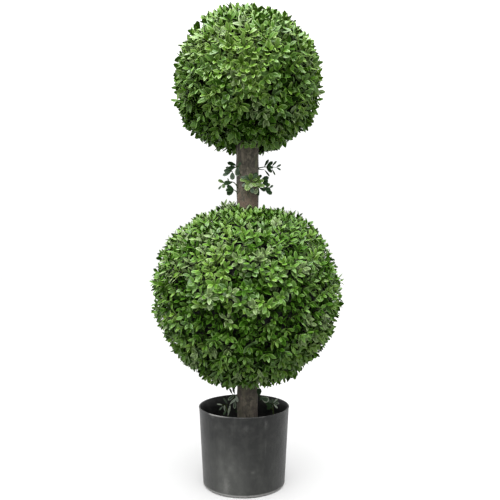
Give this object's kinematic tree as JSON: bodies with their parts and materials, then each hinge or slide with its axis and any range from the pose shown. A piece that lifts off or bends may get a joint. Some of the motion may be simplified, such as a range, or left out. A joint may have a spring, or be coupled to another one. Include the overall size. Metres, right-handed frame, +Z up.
{
  "type": "potted artificial boxwood double ball topiary",
  "caption": "Artificial boxwood topiary: a large and a small clipped leaf ball on one straight wooden trunk, with loose sprigs, standing in a plain round pot.",
  "frame": {"origin": "centre of the pot's flat underside, which stands on the ground", "axes": "+Z up along the trunk, -Y towards the side that the picture shows, +X to that side's right"},
  "size_m": [0.3645, 0.3594, 0.916],
  "materials": {
    "pot_plastic": "smooth dark grey nursery plastic with faint scuffs",
    "ballast": "rough, near black",
    "bark": "matt grey-brown bark with a fine upright grain",
    "foliage": "small satin leaves, mid green with darker and lime sprays",
    "sprig": "small satin leaves, dark green"
  },
  "bodies": {
    "root": {"pot": "pot_plastic", "pot_fill": "ballast", "trunk": "bark", "lower_ball": "foliage", "upper_ball": "foliage", "sprig_left_high": "sprig", "sprig_left_low": "sprig", "sprig_front": "sprig", "sprig_right_low": "sprig", "sprig_right_high": "sprig", "sprig_back": "sprig", "sprig_pot_left": "sprig", "sprig_pot_right": "sprig", "sprig_pot_back": "sprig"}
  },
  "joints": []
}
